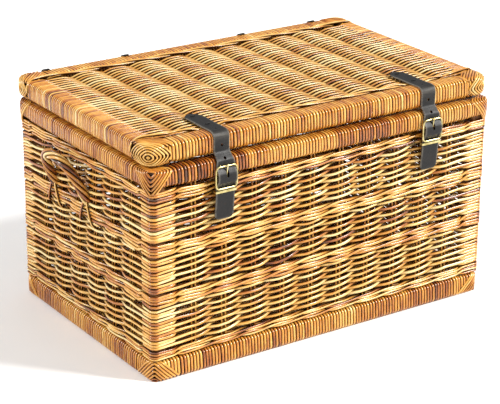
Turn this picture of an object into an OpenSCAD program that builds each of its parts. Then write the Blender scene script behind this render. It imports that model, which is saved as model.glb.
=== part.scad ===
// Wicker storage trunk with a hinged lid, two strap-and-buckle fasteners and two end handles.
// Origin: centre of the footprint at floor level. +X runs along the width, -Y is the front, +Z is up.

/* [Trunk] */
// Width of the trunk over its rim
trunk_w = 720; // [660:12:840]
// Depth of the trunk over its rim, front to back
trunk_d = 462; // [420:6:540]
// Height from the floor to the underside of the rim
rim_z = 344; // [330:2:400]
// Height of the base frame
base_h = 38; // [36:1:44]
// Height of the rim frame
rim_h = 33; // [32:1:40]
// Thickness of one wrapped layer of cane on the frames
wrap_t = 4.5; // [3.5:0.5:5.5]

/* [Weave] */
// Thickness of the woven wall
wall_t = 14; // [12:1:16]
// Extra thickness of a wale band, on each side of the wall
wale_proud = 1.5; // [0.5:0.5:2.5]
// Distance between neighbouring pairs of stakes
stake_pitch = 60; // [54:2:66]
// Diameter of an upright stake
stake_d = 4.2; // [3.5:0.1:4.6]
// Distance between the two stakes of a pair
stake_gap = 7.6; // [6.5:0.1:9]
// Rows of plain weave in the lower band
rows_lower = 14; // [12:1:16]
// Rows of plain weave in the middle band
rows_middle = 12; // [10:1:14]
// Rows of plain weave in the upper band
rows_upper = 13; // [11:1:15]
// Width of a square corner post
post_w = 26; // [22:1:28]

/* [Lid] */
// Width of the lid
lid_w = 716; // [656:12:836]
// Height of the lid frame
lid_h = 36; // [34:1:42]
// Width of the lid frame's bars, seen from above
lid_bar = 38; // [34:1:44]
// Gap between the rim and the closed lid
lid_gap = 4.4; // [4:0.2:6]
// How far the lid's front edge stands behind the rim's front edge
lid_setback = 10; // [6:1:12]

/* [Straps] */
// Distance from the centre of the trunk to each strap
strap_x = 216; // [196:2:232]
// Width of a strap
strap_w = 36.4; // [32:0.2:36.8]
// Thickness of the strap leather
strap_t = 2.3; // [2:0.1:2.5]
// Length of strap that lies on the lid, behind its front edge
strap_on_lid = 100; // [85:1:120]
// Length of strap that hangs below the buckle
strap_tail = 56; // [40:1:80]
// Diameter of the brass wire of the buckle frame
wire_d = 3.4; // [3:0.1:3.8]

/* [Handles] */
// Distance between the two feet of a handle
handle_span = 113; // [100:1:124]
// Height of a handle above its feet
handle_rise = 75; // [68:1:90]
// Thickness of the twisted handle
handle_d = 17; // [14:1:19]
// Angle at which a handle leans outwards
handle_lean = 24; // [18:1:28]

/* [Hidden] */
$fn = 48;
wood = "#6b4526";
gold = "#d9a441";
honey = "#c98a3a";
amber = "#b5722c";
chestnut = "#8a4a22";
charcoal = "#2f3033";
brass = "#cbb565";

// Base frame
base_w = trunk_w - 8;
base_d = trunk_d - 2;
base_bar = 32;
base_edge = 8;
// Rim frame
rim_bar = 34;
rim_edge = 9;
rim_top = rim_z + rim_h;
frame_corner = 54;
corner_round = 25;

// Wall
wall_w = trunk_w - 14;
wall_d = trunk_d - 10;
wall_round = 11;
wall_z0 = base_h + 2;
wall_z1 = rim_z - 5;
foot_wale_h = 16;
mid_wale_h = 22;
top_wale_h = 18;
row_pitch = (wall_z1 - wall_z0 - foot_wale_h - 2 * mid_wale_h - top_wale_h)
          / (rows_lower + rows_middle + rows_upper);
z_lower = wall_z0 + foot_wale_h;
z_lower_wale = z_lower + rows_lower * row_pitch;
z_middle = z_lower_wale + mid_wale_h;
z_upper_wale = z_middle + rows_middle * row_pitch;
z_upper = z_upper_wale + mid_wale_h;
z_top_wale = z_upper + rows_upper * row_pitch;

// Stakes, posts and their sockets in the frames
fit = 0.05;
socket_depth = 12;
corner_clear = 150;
pairs_long = 1 + floor((trunk_w - corner_clear) / stake_pitch);
pairs_short = 1 + floor((trunk_d - corner_clear) / stake_pitch);
post_inset = 5;
post_round = 5;
post_x = wall_w / 2 - post_inset - post_w / 2;
post_y = wall_d / 2 - post_inset - post_w / 2;
stake_z0 = base_h - wrap_t - socket_depth;
stake_z1 = rim_z + wrap_t + socket_depth;

// Floor
floor_z = 8;
floor_t = 12;
rib_d = 5;
rib_gap = 9;
rib_count = 1 + 2 * floor((lid_w / 2 - lid_bar - 15) / stake_pitch);
rib_z = floor_z + floor_t / 2;

// Lid
lid_z = rim_top + lid_gap;
lid_top = lid_z + lid_h;
lid_front = -trunk_d / 2 + lid_setback;
lid_back = trunk_d / 2 + 4;
lid_d = lid_back - lid_front;
lid_y = (lid_front + lid_back) / 2;
lid_edge = 9;
panel_top = lid_top - 2;
panel_t = 13;
panel_rib_z = panel_top - panel_t / 2;
edging_d = 5.2;
edging_w = 11;

// Hinges
hinge_x = [-292, -128, 128, 292];
hinge_band = 10.8;
hinge_split = 0.4;
hinge_side = (hinge_band + hinge_split) / 2;
loop_t = 2;
knuckle_d = 9;
pin_d = 4.8;
pin_fit = 0.05;
hinge_y = lid_back + 4;
hinge_z = rim_top + lid_gap / 2;
loop_reach = 12;

// Buckles
buckle_w = strap_w + 2 * wire_d + 0.8;
buckle_h = 42;
buckle_z = rim_z + 1;
buckle_round = 7;
chape_t = 1.8;
chape_y = -trunk_d / 2 - chape_t / 2;
bar_d = 3;
slack = 0.3;
strap_back_y = -trunk_d / 2 - chape_t - slack - strap_t / 2;
frame_y = strap_back_y - strap_t / 2 - slack - wire_d / 2;
bar_y = frame_y + 0.9;
bar_wrap_d = bar_d + 2 * chape_t + 0.1;
strap_over_y = bar_y - bar_wrap_d / 2 - slack + 0.05 - strap_t / 2;
top_bar_z = buckle_z + (buckle_h - wire_d) / 2;
low_bar_z = buckle_z - (buckle_h - wire_d) / 2;
prong_d = 2.6;
prong_ring_d = 5.6;
prong_ring_w = 4;
prong_length = 23;
prong_tilt = asin((wire_d / 2 + prong_d / 2 + 0.1)
           / norm([frame_y - bar_y, top_bar_z - buckle_z]))
           + atan2(bar_y - frame_y, top_bar_z - buckle_z);
keeper_h = 4;
keeper_t = 1.6;
keeper_gap = 1.6;
keeper_z = low_bar_z - wire_d / 2 - keeper_gap - keeper_h / 2;
tail_z = low_bar_z - strap_tail;
strap_hinge_y = lid_front - strap_t / 2;
strap_hinge_z = lid_top - lid_edge - 3;
strap_tip_round = 12;
strap_crook = 4;
strap_rise = 6;
hole_d = 5;
hole_z = [rim_top - 1, lid_z + 15];
slot_w = 4.4;
slot_z0 = buckle_z;
slot_z1 = top_bar_z - 5.5;
chape_margin = 8;
chape_slot_w = 6;
chape_slot_h = 8;
rivet_d = 3;
rivet_side = 14;
rivet_z = z_top_wale + top_wale_h / 2;
stitch_d = 2;
stitch_y = [lid_front + 42, lid_front + 88];
stitch_w = 9;

// Handles
handle_y = 45;
handle_foot_z = z_upper + 12;
peg_d = 9;
peg_length = 20;

// ---- Outlines -------------------------------------------------------------------------------

// Rectangle of size w by h centred on the origin, with its corners rounded to radius r
module round_rect(w, h, r) {
    square([w - 2 * r, h], center = true);
    square([w, h - 2 * r], center = true);
    for (sx = [-1, 1], sy = [-1, 1])
        translate([sx * (w / 2 - r), sy * (h / 2 - r)]) circle(r);
}

// Rectangle with its corners cut off at 45 degrees
module cut_rect(w, h, c) {
    polygon([
        [-w / 2 + c, -h / 2], [w / 2 - c, -h / 2], [w / 2, -h / 2 + c], [w / 2, h / 2 - c],
        [w / 2 - c, h / 2], [-w / 2 + c, h / 2], [-w / 2, h / 2 - c], [-w / 2, -h / 2 + c]
    ]);
}

// A band of even thickness t that follows a list of points, round at every bend
module band(points, t) {
    for (p = points) translate(p) circle(d = t);
    for (i = [1 : len(points) - 1]) {
        run = points[i] - points[i - 1];
        translate(points[i - 1]) rotate(atan2(run.y, run.x))
            translate([0, -t / 2]) square([norm(run), t]);
    }
}

// ---- Solids from outlines -------------------------------------------------------------------

// A YZ outline drawn out along X, centred on x
module along_x(x, width) {
    translate([x - width / 2, 0, 0]) rotate([90, 0, 90]) linear_extrude(width) children();
}

// A round rod between two points that differ along one axis
module rod_x(y, z, d, length) {
    translate([-length / 2, y, z]) rotate([0, 90, 0]) cylinder(d = d, h = length);
}
module rod_y(x, z, d, y0, y1) {
    translate([x, y0, z]) rotate([-90, 0, 0]) cylinder(d = d, h = y1 - y0);
}

// ---- Frames: a wooden core, four wrapped bars and four wrapped corners -----------------------

module frame_core(w, d, z, h, bar) {
    translate([0, 0, z + wrap_t]) linear_extrude(h - 2 * wrap_t) difference() {
        round_rect(w - 2 * wrap_t, d - 2 * wrap_t, corner_round - wrap_t);
        square([w - 2 * bar + 2 * wrap_t, d - 2 * bar + 2 * wrap_t], center = true);
    }
}

// One wrapped bar along X, its core space left open
module bar_sleeve(length, bar, h, r) {
    translate([-length / 2, 0, 0]) rotate([90, 0, 90]) linear_extrude(length) difference() {
        translate([0, h / 2]) round_rect(bar, h, r);
        translate([0, h / 2]) square([bar - 2 * wrap_t, h - 2 * wrap_t], center = true);
    }
}

// side: 0 front, 1 back, 2 left, 3 right
module frame_bar(side, w, d, z, h, bar, r) {
    long = side < 2;
    at = (side % 2 == 0 ? -1 : 1) * ((long ? d : w) - bar) / 2;
    translate([long ? 0 : at, long ? at : 0, z]) rotate([0, 0, long ? 0 : 90])
        bar_sleeve((long ? w : d) - 2 * frame_corner, bar, h, r);
}

module corner_block(h, bar, r) {
    c = frame_corner;
    intersection() {
        linear_extrude(h) difference() {
            polygon([[0, 0], [c, 0], [c, bar], [bar, c], [0, c]]);
            difference() {
                square(corner_round);
                translate([corner_round, corner_round]) circle(corner_round);
            }
        }
        translate([0, c, h / 2]) rotate([90, 0, 90]) linear_extrude(c) round_rect(2 * c, h, r);
        translate([c, c, h / 2]) rotate([90, 0, 0]) linear_extrude(c) round_rect(2 * c, h, r);
    }
}

module frame_corners(w, d, z, h, bar, r) {
    for (sx = [0, 1], sy = [0, 1])
        mirror([sx, 0, 0]) mirror([0, sy, 0])
            translate([-w / 2, -d / 2, z]) corner_block(h, bar, r);
}

// ---- Uprights -------------------------------------------------------------------------------

function pair_at(i, n) = (i - (n - 1) / 2) * stake_pitch;

// Plan positions of every stake on one side
function side_stakes(side) =
    let (n = side < 2 ? pairs_long : pairs_short,
         at = (side % 2 == 0 ? -1 : 1) * ((side < 2 ? wall_d : wall_w) - wall_t) / 2)
    [for (i = [0 : n - 1], s = [-0.5, 0.5])
        let (along = pair_at(i, n) + s * stake_gap)
        side < 2 ? [along, at] : [at, along]];

module stake_holes(d) {
    for (side = [0 : 3], p = side_stakes(side)) translate(p) circle(d = d);
}

module stakes(side) {
    for (p = side_stakes(side))
        translate([p.x, p.y, stake_z0]) cylinder(d = stake_d, h = stake_z1 - stake_z0);
}

module stake_bores() {
    translate([0, 0, stake_z0]) linear_extrude(stake_z1 - stake_z0) stake_holes(stake_d + 2 * fit);
}

module post_plan(sx, sy) {
    translate([sx * post_x, sy * post_y]) round_rect(post_w, post_w, post_round);
}

module post(sx, sy) {
    z0 = base_h - wrap_t;
    translate([0, 0, z0]) linear_extrude(rim_z + wrap_t - z0) post_plan(sx, sy);
}

module all_posts() {
    for (sx = [-1, 1], sy = [-1, 1]) post(sx, sy);
}

// ---- Woven wall: closed bands that run round the trunk ---------------------------------------

module wall_band(z, h, proud) {
    translate([0, 0, z]) linear_extrude(h) difference() {
        round_rect(wall_w + 2 * proud, wall_d + 2 * proud, wall_round + proud);
        square([wall_w - 2 * wall_t - 2 * proud, wall_d - 2 * wall_t - 2 * proud], center = true);
        stake_holes(stake_d + 2 * fit);
        for (sx = [-1, 1], sy = [-1, 1]) post_plan(sx, sy);
    }
}

// ---- Handles --------------------------------------------------------------------------------

module handle_place(side) {
    mirror([side, 0, 0])
        translate([-wall_w / 2, handle_y, handle_foot_z]) rotate([0, -handle_lean, 0]) children();
}

module handle_pegs(side) {
    handle_place(side) for (s = [-1, 1])
        translate([0, s * handle_span / 2, -peg_length]) cylinder(d = peg_d, h = peg_length);
}

module handle(side) {
    leg = handle_rise - handle_span / 2;
    handle_pegs(side);
    difference() {
        handle_place(side) {
            translate([0, 0, leg]) rotate([90, 0, 90]) rotate_extrude(angle = 180)
                translate([handle_span / 2, 0]) circle(d = handle_d);
            for (s = [-1, 1])
                translate([0, s * handle_span / 2, -6]) cylinder(d = handle_d, h = leg + 6);
        }
        mirror([side, 0, 0]) translate([-wall_w / 2, -trunk_d / 2, 0])
            cube([wall_t * 3, trunk_d, rim_top]);
    }
}

// ---- Hinges ---------------------------------------------------------------------------------

// Leather loop round a back bar, open on the inner side, with its neck and knuckle
module hinge_loop(x, bar_back, z, h, bar, r, neck_z) {
    mid = [bar_back - bar / 2, z + h / 2];
    difference() {
        along_x(x, hinge_band) {
            difference() {
                translate(mid) round_rect(bar + 2 * loop_t, h + 2 * loop_t, r + loop_t);
                translate(mid) round_rect(bar, h, r);
                translate([bar_back - bar - loop_t - 1, z - loop_t - 1])
                    square([bar - loop_reach + loop_t + 1, h + 2 * loop_t + 2]);
            }
            translate([bar_back - r - 2, neck_z]) square([hinge_y - bar_back + r + 2, loop_t]);
            translate([hinge_y, hinge_z]) circle(d = knuckle_d);
        }
        rod_x(hinge_y, hinge_z, pin_d + 2 * pin_fit, trunk_w);
    }
}

// ---- Straps and buckles ---------------------------------------------------------------------

// Centre line of the hanging strap, from its bend at the lid's front edge down to its tip
strap_line = [
    [strap_hinge_y, strap_hinge_z],
    [strap_hinge_y, lid_z + strap_crook],
    [strap_back_y, rim_top - strap_crook],
    [strap_back_y, top_bar_z - strap_crook + 1],
    [strap_over_y, buckle_z + strap_rise],
    [strap_over_y, buckle_z - strap_rise],
    [strap_back_y, low_bar_z + strap_crook - 1],
    [strap_back_y, tail_z]
];

module strap_hanging(x) {
    difference() {
        intersection() {
            along_x(x, strap_w) band(strap_line, strap_t);
            translate([x, 0, tail_z + lid_top / 2]) rotate([90, 0, 0])
                linear_extrude(2 * trunk_d, center = true)
                    round_rect(strap_w, lid_top, strap_tip_round);
        }
        for (z = hole_z) rod_y(x, z, hole_d, -trunk_d, 0);
        translate([x - slot_w / 2, -trunk_d, slot_z0])
            cube([slot_w, trunk_d, slot_z1 - slot_z0]);
    }
}

module strap_top(x) {
    back = lid_front + strap_on_lid - strap_w / 2;
    top_bend_y = lid_front + lid_edge;
    difference() {
        union() {
            translate([x - strap_w / 2, top_bend_y, lid_top])
                cube([strap_w, back - top_bend_y, strap_t]);
            translate([x, back, lid_top]) cylinder(d = strap_w, h = strap_t);
            translate([x + strap_w / 2, top_bend_y, lid_top - lid_edge]) rotate([0, -90, 0])
                strap_bend();
            translate([x - strap_w / 2, lid_front - strap_t, strap_hinge_z])
                cube([strap_w, strap_t, lid_top - lid_edge - strap_hinge_z]);
        }
        translate([x - strap_w, strap_hinge_y, strap_hinge_z]) rotate([0, 90, 0])
            cylinder(d = strap_t + 2 * fit, h = 2 * strap_w);
        translate([x - strap_w, strap_hinge_y - strap_t, strap_hinge_z - strap_t])
            cube([2 * strap_w, strap_t, 1.5 * strap_t + slack]);
        stitch_pins(x);
    }
}

// Quarter of a ring: the strap's bend round the lid's front edge
module strap_bend() {
    rotate([0, 0, 180]) intersection() {
        difference() {
            cylinder(r = lid_edge + strap_t, h = strap_w);
            translate([0, 0, -1]) cylinder(r = lid_edge, h = strap_w + 2);
        }
        translate([-lid_edge - strap_t, 0, 0]) cube([lid_edge + strap_t, lid_edge + strap_t, strap_w]);
    }
}

module stitch_pins(x) {
    for (y = stitch_y, s = [-0.5, 0.5])
        translate([x + s * stitch_w, y, lid_top - 8]) cylinder(d = stitch_d, h = strap_t + 9);
}

module stitches(x) {
    stitch_pins(x);
    for (y = stitch_y)
        translate([x - stitch_w / 2, y, lid_top + strap_t + 1]) rotate([0, 90, 0])
            cylinder(d = stitch_d, h = stitch_w);
}

module buckle_bar(x, width) {
    translate([x, 0, 0]) rod_x(bar_y, buckle_z, bar_d, width);
}

module buckle_frame(x) {
    w = buckle_w - wire_d;
    h = buckle_h - wire_d;
    translate([x, frame_y, buckle_z]) {
        for (s = [-1, 1]) {
            translate([-w / 2 + buckle_round, 0, s * h / 2]) rotate([0, 90, 0])
                cylinder(d = wire_d, h = w - 2 * buckle_round);
            translate([s * w / 2, 0, -h / 2 + buckle_round])
                cylinder(d = wire_d, h = h - 2 * buckle_round);
        }
        for (k = [0 : 3])
            rotate([0, k * 90, 0])
                translate([(k % 2 == 0 ? w : h) / 2 - buckle_round, 0,
                           -(k % 2 == 0 ? h : w) / 2 + buckle_round])
                    rotate([90, 0, 0]) rotate([0, 0, -90]) rotate_extrude(angle = 90)
                        translate([buckle_round, 0]) circle(d = wire_d);
    }
    buckle_bar(x, w);
}

module chape(x) {
    low_z = rivet_z - chape_margin;
    width = strap_w - 1;
    difference() {
        union() {
            translate([x, 0, 0]) rod_x(bar_y, buckle_z, bar_wrap_d, width);
            translate([x - width / 2, chape_y - chape_t / 2, low_z])
                cube([width, chape_t, buckle_z - low_z]);
            translate([x - width / 2, bar_y, buckle_z - bar_wrap_d / 2])
                cube([width, chape_y + chape_t / 2 - bar_y, chape_t]);
        }
        buckle_bar(x, buckle_w);
        translate([x - chape_slot_w / 2, -trunk_d, buckle_z - chape_slot_h / 2])
            cube([chape_slot_w, trunk_d, chape_slot_h]);
        rivet_pins(x, rivet_d);
    }
}

module rivet_pins(x, d) {
    for (s = [-1, 1])
        rod_y(x + s * rivet_side, rivet_z, d, chape_y - chape_t / 2, -wall_d / 2 + wall_t + wale_proud);
}

module keeper(x) {
    inner_w = strap_w + 1.6;
    y0 = strap_back_y - strap_t / 2 - slack;
    y1 = chape_y + chape_t / 2;
    translate([x, (y0 + y1) / 2, keeper_z - keeper_h / 2]) linear_extrude(keeper_h) difference() {
        round_rect(inner_w + 2 * keeper_t, y1 - y0 + 2 * keeper_t, 1.2);
        square([inner_w, y1 - y0], center = true);
    }
}

module prong(x) {
    difference() {
        union() {
            translate([x, 0, 0]) rod_x(bar_y, buckle_z, prong_ring_d, prong_ring_w);
            translate([x, bar_y, buckle_z]) rotate([prong_tilt, 0, 0]) {
                cylinder(d = prong_d, h = prong_length);
                translate([0, 0, prong_length]) sphere(d = prong_d);
            }
        }
        translate([x, 0, 0]) rod_x(bar_y, buckle_z, bar_d + 2 * pin_fit, buckle_w);
    }
}

// ---- Sub-parts ------------------------------------------------------------------------------

module base_core() {
    color(wood) difference() {
        frame_core(base_w, base_d, 0, base_h, base_bar);
        stake_bores();
        rib_bores(rib_z, base_d);
    }
}
module base_wrap(side) {
    color(honey) difference() {
        frame_bar(side, base_w, base_d, 0, base_h, base_bar, base_edge);
        stake_bores();
        rib_bores(rib_z, base_d);
    }
}
module base_corners() {
    color(amber) difference() {
        frame_corners(base_w, base_d, 0, base_h, base_bar, base_edge);
        frame_core(base_w, base_d, 0, base_h, base_bar);
        all_posts();
        rib_bores(rib_z, base_d);
    }
}

function rib_places() =
    [for (i = [0 : rib_count - 1], s = [-0.5, 0.5]) pair_at(i, rib_count) + s * rib_gap];

module ribs(z, y0, y1, d) {
    for (x = rib_places()) rod_y(x, z, d, y0, y1);
}
module rib_bores(z, depth) {
    reach = depth / 2 - base_bar / 2;
    ribs(z, -reach, reach, rib_d + 2 * fit);
}
module floor_ribs() {
    reach = base_d / 2 - base_bar / 2;
    color(honey) ribs(rib_z, -reach, reach, rib_d);
}
module floor_weave() {
    color(gold) difference() {
        translate([0, 0, floor_z]) linear_extrude(floor_t)
            cut_rect(base_w - 2 * base_bar, base_d - 2 * base_bar, frame_corner - base_bar);
        rib_bores(rib_z, base_d);
    }
}

module foot_wale() {
    color(amber) wall_band(wall_z0, foot_wale_h, wale_proud);
}
module lower_weave() {
    color(gold) wall_band(z_lower, rows_lower * row_pitch, 0);
}
module lower_wale() {
    color(amber) wall_band(z_lower_wale, mid_wale_h, wale_proud);
}
module middle_weave() {
    color(gold) wall_band(z_middle, rows_middle * row_pitch, 0);
}
module upper_wale() {
    color(amber) difference() {
        wall_band(z_upper_wale, mid_wale_h, wale_proud);
        for (side = [0, 1]) handle_pegs(side);
    }
}
module upper_weave() {
    color(gold) difference() {
        wall_band(z_upper, rows_upper * row_pitch, 0);
        for (side = [0, 1]) handle_pegs(side);
    }
}
module top_wale() {
    color(amber) difference() {
        wall_band(z_top_wale, top_wale_h, wale_proud);
        for (s = [-1, 1]) rivet_pins(s * strap_x, rivet_d);
    }
}

module rim_core() {
    color(wood) difference() {
        frame_core(trunk_w, trunk_d, rim_z, rim_h, rim_bar);
        stake_bores();
    }
}
module rim_wrap(side) {
    color(honey) difference() {
        frame_bar(side, trunk_w, trunk_d, rim_z, rim_h, rim_bar, rim_edge);
        stake_bores();
    }
}
module rim_corners() {
    color(chestnut) difference() {
        frame_corners(trunk_w, trunk_d, rim_z, rim_h, rim_bar, rim_edge);
        frame_core(trunk_w, trunk_d, rim_z, rim_h, rim_bar);
        all_posts();
    }
}

module hinge_pins() {
    color(brass) for (x = hinge_x)
        translate([x, 0, 0]) rod_x(hinge_y, hinge_z, pin_d, 2 * hinge_band + hinge_split);
}
module rim_hinge_loops() {
    color(charcoal) difference() {
        for (x = hinge_x)
            hinge_loop(x + hinge_side, trunk_d / 2, rim_z, rim_h, rim_bar, rim_edge, rim_top);
        stake_bores();
    }
}
module lid_hinge_loops() {
    color(charcoal) for (x = hinge_x)
        hinge_loop(x - hinge_side, lid_back, lid_z, lid_h, lid_bar, lid_edge, lid_z - loop_t);
}

module lid_core() {
    color(wood) difference() {
        translate([0, lid_y, 0]) frame_core(lid_w, lid_d, lid_z, lid_h, lid_bar);
        lid_rib_run(rib_d + 2 * fit);
    }
}
module lid_wrap(side) {
    color(honey) difference() {
        translate([0, lid_y, 0]) frame_bar(side, lid_w, lid_d, lid_z, lid_h, lid_bar, lid_edge);
        lid_rib_run(rib_d + 2 * fit);
    }
}
module lid_corners() {
    color(amber) difference() {
        translate([0, lid_y, 0]) frame_corners(lid_w, lid_d, lid_z, lid_h, lid_bar, lid_edge);
        translate([0, lid_y, 0]) frame_core(lid_w, lid_d, lid_z, lid_h, lid_bar);
        lid_rib_run(rib_d + 2 * fit);
    }
}
module lid_rib_run(d) {
    ribs(panel_rib_z, lid_front + lid_bar / 2, lid_back - lid_bar / 2, d);
}
module lid_ribs() {
    color(honey) lid_rib_run(rib_d);
}
module lid_weave() {
    color(gold) difference() {
        translate([0, lid_y, panel_top - panel_t]) linear_extrude(panel_t)
            cut_rect(lid_w - 2 * lid_bar, lid_d - 2 * lid_bar - 2 * edging_w, frame_corner - lid_bar);
        lid_rib_run(rib_d + 2 * fit);
        for (s = [-1, 1]) stitch_pins(s * strap_x);
    }
}
module lid_edging() {
    length = lid_w - 2 * frame_corner;
    color(gold) difference() {
        for (s = [-1, 1], k = [0, 1])
            rod_x(lid_y + s * (lid_d / 2 - lid_bar - (0.5 + k) * (edging_d + 0.1)),
                  panel_rib_z + (rib_d + edging_d) / 2, edging_d, length);
        for (s = [-1, 1]) stitch_pins(s * strap_x);
    }
}

module strap_stitches() {
    color(charcoal) for (s = [-1, 1]) stitches(s * strap_x);
}
module chape_rivets() {
    color(brass) for (s = [-1, 1]) rivet_pins(s * strap_x, rivet_d);
}

base_core();
base_wrap(0);  // base_wrap_front
base_wrap(1);  // base_wrap_back
base_wrap(2);  // base_wrap_left
base_wrap(3);  // base_wrap_right
base_corners();
floor_ribs();
floor_weave();
color(wood) post(-1, -1);  // post_front_left
color(wood) post(1, -1);  // post_front_right
color(wood) post(-1, 1);  // post_back_left
color(wood) post(1, 1);  // post_back_right
color(honey) stakes(0);  // stakes_front
color(honey) stakes(1);  // stakes_back
color(honey) stakes(2);  // stakes_left
color(honey) stakes(3);  // stakes_right
foot_wale();
lower_weave();
lower_wale();
middle_weave();
upper_wale();
upper_weave();
top_wale();
rim_core();
rim_wrap(0);  // rim_wrap_front
rim_wrap(1);  // rim_wrap_back
rim_wrap(2);  // rim_wrap_left
rim_wrap(3);  // rim_wrap_right
rim_corners();
color(amber) handle(0);  // handle_left
color(amber) handle(1);  // handle_right
hinge_pins();
rim_hinge_loops();
lid_hinge_loops();
lid_core();
lid_wrap(0);  // lid_wrap_front
lid_wrap(1);  // lid_wrap_back
lid_wrap(2);  // lid_wrap_left
lid_wrap(3);  // lid_wrap_right
lid_corners();
lid_ribs();
lid_weave();
lid_edging();
color(charcoal) strap_top(-strap_x);  // strap_top_left
color(charcoal) strap_top(strap_x);  // strap_top_right
strap_stitches();
color(charcoal) strap_hanging(-strap_x);  // strap_hanging_left
color(charcoal) strap_hanging(strap_x);  // strap_hanging_right
color(charcoal) chape(-strap_x);  // chape_left
color(charcoal) chape(strap_x);  // chape_right
chape_rivets();
color(brass) buckle_frame(-strap_x);  // buckle_frame_left
color(brass) buckle_frame(strap_x);  // buckle_frame_right
color(brass) keeper(-strap_x);  // keeper_left
color(brass) keeper(strap_x);  // keeper_right
color(brass) prong(-strap_x);  // prong_left
color(brass) prong(strap_x);  // prong_right
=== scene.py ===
import math

import bmesh
import bpy
import numpy as np
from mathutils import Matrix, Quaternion, Vector


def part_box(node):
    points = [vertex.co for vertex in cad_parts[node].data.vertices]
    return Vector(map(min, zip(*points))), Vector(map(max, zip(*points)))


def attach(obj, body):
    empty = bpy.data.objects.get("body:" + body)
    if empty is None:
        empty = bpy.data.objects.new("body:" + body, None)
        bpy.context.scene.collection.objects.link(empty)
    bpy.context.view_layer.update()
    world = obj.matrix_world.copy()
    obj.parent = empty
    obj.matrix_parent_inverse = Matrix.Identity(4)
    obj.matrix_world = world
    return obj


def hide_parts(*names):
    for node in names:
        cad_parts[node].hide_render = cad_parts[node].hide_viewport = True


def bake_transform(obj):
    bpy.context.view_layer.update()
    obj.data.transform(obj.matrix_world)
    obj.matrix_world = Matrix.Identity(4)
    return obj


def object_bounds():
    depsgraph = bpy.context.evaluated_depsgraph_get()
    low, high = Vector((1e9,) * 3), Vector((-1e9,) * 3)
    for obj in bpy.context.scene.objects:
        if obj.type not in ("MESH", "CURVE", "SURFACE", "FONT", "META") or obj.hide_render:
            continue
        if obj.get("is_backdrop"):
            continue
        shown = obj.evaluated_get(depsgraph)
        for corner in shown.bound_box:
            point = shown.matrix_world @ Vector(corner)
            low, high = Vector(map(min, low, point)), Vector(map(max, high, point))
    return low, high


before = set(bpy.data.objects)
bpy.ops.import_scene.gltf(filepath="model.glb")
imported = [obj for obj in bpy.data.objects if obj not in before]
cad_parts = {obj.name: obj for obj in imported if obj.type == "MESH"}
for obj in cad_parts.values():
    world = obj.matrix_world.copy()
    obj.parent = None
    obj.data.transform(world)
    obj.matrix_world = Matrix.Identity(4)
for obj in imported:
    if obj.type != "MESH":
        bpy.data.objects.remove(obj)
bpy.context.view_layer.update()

random = np.random.default_rng(11)
MM = 0.001
UP = np.array([0.0, 0.0, 1.0])
ALONG_Y = np.array([0.0, 1.0, 0.0])

# Stakes and ribs, as in the CAD source
STAKE_PITCH = 60 * MM
STAKE_GAP = 7.6 * MM
STAKE_D = 4.2 * MM
RIB_D = 5 * MM
RIB_GAP = 9 * MM
STAKE_HALF = STAKE_GAP / 2 + STAKE_D / 2
PAIRS_LONG = 10
PAIRS_SHORT = 6
WALL_T = 14 * MM

# Rods of the wall: half width and half thickness, and how far they wander up and down
WEAVER = np.array([2.85, 2.4]) * MM
DRIFT = 0.6 * MM
ROW_COUNTS = {"lower_weave": 14, "middle_weave": 12, "upper_weave": 13}
WALES = ("foot_wale", "lower_wale", "upper_wale", "top_wale")
WALE_ROUNDS = 2
# Where rods pass outside a corner post: to each side of the post, and beside the next stakes
POST_CLEAR = (31 * MM, 24 * MM)
POST_SIDE = (26 * MM, 30 * MM)
# The ends of a rod, past the stakes that hold it
ROD_START = 14 * MM
ROD_END = 22 * MM
# How far a row hangs between the stakes, and how far on the back and the right side
SAG = 0.55 * MM
SAG_BACK = 2.5 * MM

# Frames, as in the CAD source
CORNER = 54 * MM
CORNER_ROUND = 25 * MM
EDGE = {"base": 8 * MM, "rim": 9 * MM, "lid": 9 * MM}
PANEL_RIBS = 11

# Cane wound on the bars: its pitch, and its half width and half thickness
WRAP_PITCH = 6.2 * MM
WRAP = np.array([3.15, 2.5]) * MM
# Rows of the lid panel and the floor: half widths, half thicknesses and pitches
LID_ROW = 2.3 * MM
LID_ROW_PITCH = 5.45 * MM
LID_ROW_ON_BAR = 2.76 * MM
FLOOR_ROW = np.array([2.8, 1.75]) * MM
FLOOR_ROW_PITCH = 5.7 * MM


# ---- Places taken from the frame ----

def span(node):
    """Lowest and highest corner of a CAD node's box."""
    low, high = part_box(node)
    return np.array(low), np.array(high)


def middle(node):
    """The middle of a CAD node's box."""
    low, high = span(node)
    return (low + high) / 2


def add_object(name, data):
    """A new object in the scene."""
    obj = bpy.data.objects.new(name, data)
    bpy.context.scene.collection.objects.link(obj)
    return obj


def smooth_step(t):
    """0 below 0, 1 above 1, and an even curve between."""
    t = np.clip(t, 0, 1)
    return t * t * (3 - 2 * t)


def unit(v):
    """Vectors made one long."""
    return v / np.maximum(np.linalg.norm(v, axis=-1, keepdims=True), 1e-12)


def distances(path):
    """The distance along a polyline at each of its points."""
    return np.concatenate([[0], np.cumsum(np.linalg.norm(np.diff(path, axis=0), axis=1))])


def at_distance(at, s, columns):
    """Columns given at the distances s, read off at other distances."""
    return np.stack([np.interp(at, s, column) for column in columns.T], 1)


def soft_noise(length, amplitude, shortest):
    """A smooth random function of distance that repeats after length."""
    count = max(2, int(length / shortest))
    k = np.arange(1, count + 1)
    size = random.normal(size=count) * amplitude / math.sqrt(count / 2)
    phase = random.uniform(0, 2 * math.pi, count)
    return lambda s: (size * np.sin(2 * math.pi * np.outer(s, k) / length + phase)).sum(1)


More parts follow.
